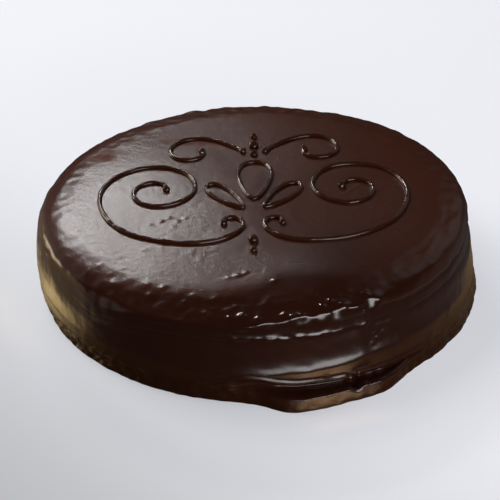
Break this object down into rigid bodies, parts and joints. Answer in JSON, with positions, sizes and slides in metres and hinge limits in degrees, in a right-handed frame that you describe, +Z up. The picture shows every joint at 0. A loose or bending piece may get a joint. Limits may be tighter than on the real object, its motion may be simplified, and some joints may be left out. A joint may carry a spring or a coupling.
{
  "type": "sachertorte cake",
  "caption": "Whole round chocolate torte, poured with dark chocolate glaze, with a scroll ornament piped on its top.",
  "frame": {"origin": "middle of the cake's box at its flat base", "axes": "+Z up from the base to the top, -Y towards the side that the glaze ran out on, +X towards the taller side"},
  "size_m": [0.2464, 0.2536, 0.0581],
  "materials": {
    "glaze": "satin poured chocolate glaze",
    "piping": "glossy piped chocolate"
  },
  "bodies": {
    "root": {"glazed_cake": "glaze", "piped_scroll_left": "piping", "piped_scroll_right": "piping", "piped_curl_left": "piping", "piped_curl_right": "piping", "piped_leaf_left": "piping", "piped_leaf_right": "piping", "piped_petal": "piping", "piped_drop_1": "piping", "piped_drop_2": "piping", "piped_drop_3": "piping", "piped_drop_4": "piping", "piped_drop_5": "piping"}
  },
  "joints": []
}
